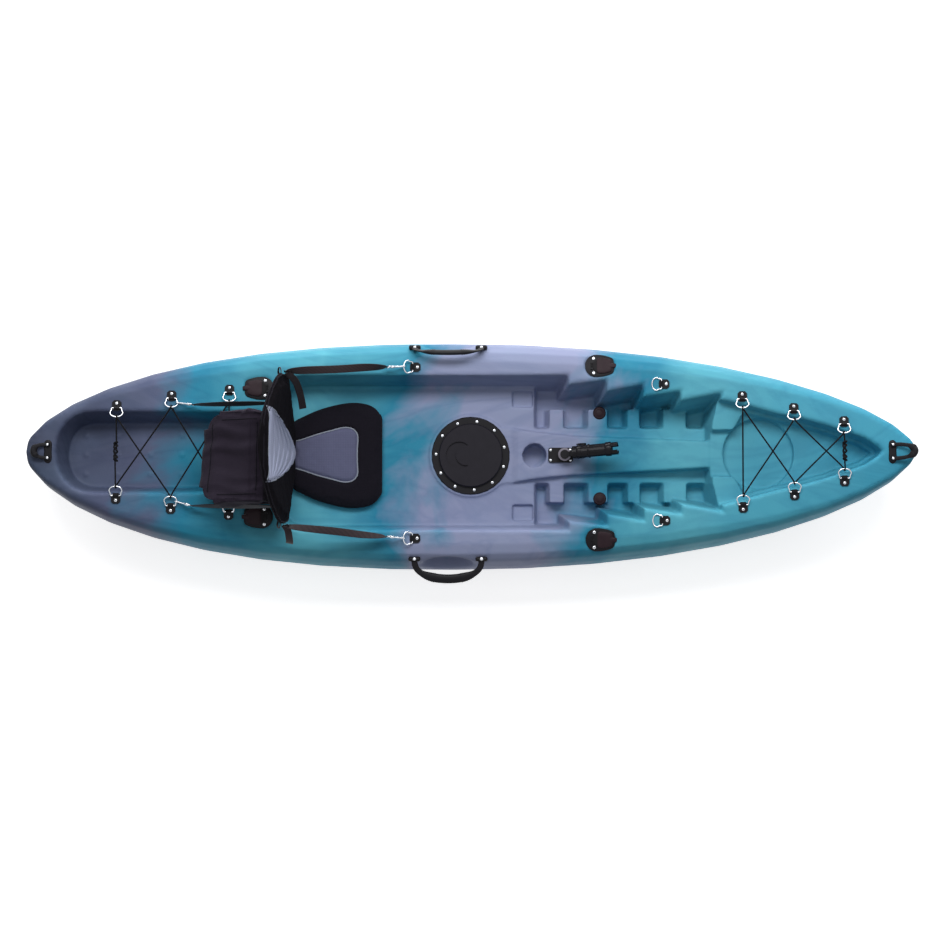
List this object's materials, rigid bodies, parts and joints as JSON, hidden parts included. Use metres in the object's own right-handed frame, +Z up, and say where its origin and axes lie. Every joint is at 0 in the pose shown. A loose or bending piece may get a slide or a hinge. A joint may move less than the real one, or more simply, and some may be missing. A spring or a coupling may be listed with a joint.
{
  "type": "fishing kayak",
  "caption": "Sit-on-top fishing kayak with hollow hull, folding padded seat, deck hatch, flush and swivel rod holders, laced shock cords and grab handles.",
  "frame": {"origin": "on the surface the keel stands on, under the middle of the hull's length", "axes": "+X to the bow, +Y to port (left when facing the bow), +Z up"},
  "size_m": [2.9445, 0.8165, 0.6113],
  "materials": {
    "hull_plastic": "satin moulded polyethylene, teal and grey swirled",
    "black_plastic": "satin",
    "rubber": "matte",
    "steel": "bright wire",
    "black_fabric": "woven webbing and coated cloth",
    "grey_fabric": "padded cloth",
    "cord": "braided shock cord"
  },
  "bodies": {
    "hull": {"hull": "hull_plastic", "hatch_ring": "black_plastic", "swivel_base": "black_plastic", "rod_holder_front_left": "black_plastic", "rod_holder_front_right": "black_plastic", "rod_holder_rear_left": "black_plastic", "rod_holder_rear_right": "black_plastic", "stern_eye_1_left": "black_plastic", "stern_eye_1_right": "black_plastic", "stern_eye_2_left": "black_plastic", "stern_eye_2_right": "black_plastic", "stern_eye_3_left": "black_plastic", "stern_eye_3_right": "black_plastic", "bow_eye_1_left": "black_plastic", "bow_eye_1_right": "black_plastic", "bow_eye_2_left": "black_plastic", "bow_eye_2_right": "black_plastic", "bow_eye_3_left": "black_plastic", "bow_eye_3_right": "black_plastic", "strap_eye_left": "black_plastic", "strap_ring_left": "steel", "strap_eye_right": "black_plastic", "strap_ring_right": "steel", "foot_eye_left": "black_plastic", "foot_eye_right": "black_plastic", "stern_bungee": "cord", "bow_bungee": "cord", "seat_pad": "grey_fabric", "front_strap_left": "black_fabric", "front_hook_left": "steel", "front_strap_right": "black_fabric", "front_hook_right": "steel", "rear_strap_left": "black_fabric", "rear_hook_left": "steel", "rear_strap_right": "black_fabric", "rear_hook_right": "steel"},
    "hatch_gasket": {"hatch_gasket": "rubber"},
    "hatch_lid": {"hatch_lid": "black_plastic"},
    "swivel_head": {"swivel_head": "black_plastic"},
    "rod_cradle": {"rod_cradle": "black_plastic"},
    "cradle_knob": {"cradle_knob": "black_plastic"},
    "seat_back": {"seat_back": "grey_fabric", "seat_bag": "black_fabric"},
    "drain_plug": {"drain_plug": "rubber"},
    "rod_cap_front_left": {"rod_cap_front_left": "rubber"},
    "rod_cap_front_right": {"rod_cap_front_right": "rubber"},
    "rod_cap_rear_left": {"rod_cap_rear_left": "rubber"},
    "rod_cap_rear_right": {"rod_cap_rear_right": "rubber"},
    "side_handle_left": {"side_handle_left": "black_plastic"},
    "side_handle_right": {"side_handle_right": "black_plastic"},
    "bow_handle": {"bow_handle": "black_plastic"},
    "stern_handle": {"stern_handle": "black_plastic"},
    "foot_ring_left": {"foot_ring_left": "steel"},
    "foot_ring_right": {"foot_ring_right": "steel"},
    "scupper_plug_left": {"scupper_plug_left": "rubber"},
    "scupper_plug_right": {"scupper_plug_right": "rubber"}
  },
  "joints": [
    {"name": "hatch_lift", "type": "slide", "parent": "hull", "child": "hatch_gasket", "axis": [0, 0, 1], "range_m": [0, 0.25]},
    {"name": "hatch_turn", "type": "hinge", "parent": "hatch_gasket", "child": "hatch_lid", "pos_m": [0.002, 0, 0.18], "axis": [0, 0, 1], "range_deg": [0, 90]},
    {"name": "front_left_cap_hinge", "type": "hinge", "parent": "hull", "child": "rod_cap_front_left", "pos_m": [0.40447, 0.29047, 0.28489], "axis": [0, -0.9856, 0.1692], "range_deg": [0, 110]},
    {"name": "front_right_cap_hinge", "type": "hinge", "parent": "hull", "child": "rod_cap_front_right", "pos_m": [0.40447, -0.29047, 0.28489], "axis": [0, -0.9856, -0.1692], "range_deg": [0, 110]},
    {"name": "rear_left_cap_hinge", "type": "hinge", "parent": "hull", "child": "rod_cap_rear_left", "pos_m": [-0.67351, 0.214, 0.29528], "axis": [0, 0.9982, -0.06], "range_deg": [0, 110]},
    {"name": "rear_right_cap_hinge", "type": "hinge", "parent": "hull", "child": "rod_cap_rear_right", "pos_m": [-0.67351, -0.214, 0.29528], "axis": [0, 0.9982, 0.06], "range_deg": [0, 110]},
    {"name": "swivel_yaw", "type": "hinge", "parent": "hull", "child": "swivel_head", "pos_m": [0.316, 0, 0.2], "axis": [0, 0, 1], "continuous": true},
    {"name": "cradle_tilt", "type": "hinge", "parent": "swivel_head", "child": "rod_cradle", "pos_m": [0.37376, 0.00464, 0.2343], "axis": [0.0799, -0.9968, 0], "range_deg": [-22, 25]},
    {"name": "knob_spin", "type": "hinge", "parent": "swivel_head", "child": "cradle_knob", "pos_m": [0.37376, 0.00464, 0.2343], "axis": [0.0799, -0.9968, 0], "continuous": true},
    {"name": "side_handle_left_swing", "type": "hinge", "parent": "hull", "child": "side_handle_left", "pos_m": [-0.07301, 0.35283, 0.26861], "axis": [1, 0, 0], "range_deg": [-145, 8]},
    {"name": "side_handle_right_swing", "type": "hinge", "parent": "hull", "child": "side_handle_right", "pos_m": [-0.07301, -0.35283, 0.26861], "axis": [1, 0, 0], "range_deg": [-128, 25]},
    {"name": "bow_handle_swing", "type": "hinge", "parent": "hull", "child": "bow_handle", "pos_m": [1.392, -0.003, 0.35266], "axis": [0, -1, 0], "range_deg": [-12, 126]},
    {"name": "stern_handle_swing", "type": "hinge", "parent": "hull", "child": "stern_handle", "pos_m": [-1.394, 0, 0.32858], "axis": [0, 1, 0], "range_deg": [-6, 140]},
    {"name": "foot_ring_left_swing", "type": "hinge", "parent": "hull", "child": "foot_ring_left", "pos_m": [0.63473, 0.22715, 0.30127], "axis": [0.0005, 0.9997, -0.0238], "range_deg": [0, 165]},
    {"name": "foot_ring_right_swing", "type": "hinge", "parent": "hull", "child": "foot_ring_right", "pos_m": [0.63473, -0.22715, 0.30126], "axis": [-0.0005, 0.9997, 0.0238], "range_deg": [0, 165]},
    {"name": "backrest_fold", "type": "hinge", "parent": "hull", "child": "seat_back", "pos_m": [-0.592, 0, 0.208], "axis": [0, 1, 0], "range_deg": [0, 55]},
    {"name": "scupper_plug_left_lift", "type": "slide", "parent": "hull", "child": "scupper_plug_left", "axis": [0, 0, 1], "range_m": [0, 0.06]},
    {"name": "scupper_plug_right_lift", "type": "slide", "parent": "hull", "child": "scupper_plug_right", "axis": [0, 0, 1], "range_m": [0, 0.06]},
    {"name": "drain_plug_turn", "type": "hinge", "parent": "hull", "child": "drain_plug", "pos_m": [-1.466, 0, 0.238], "axis": [1, 0, 0], "continuous": true}
  ]
}
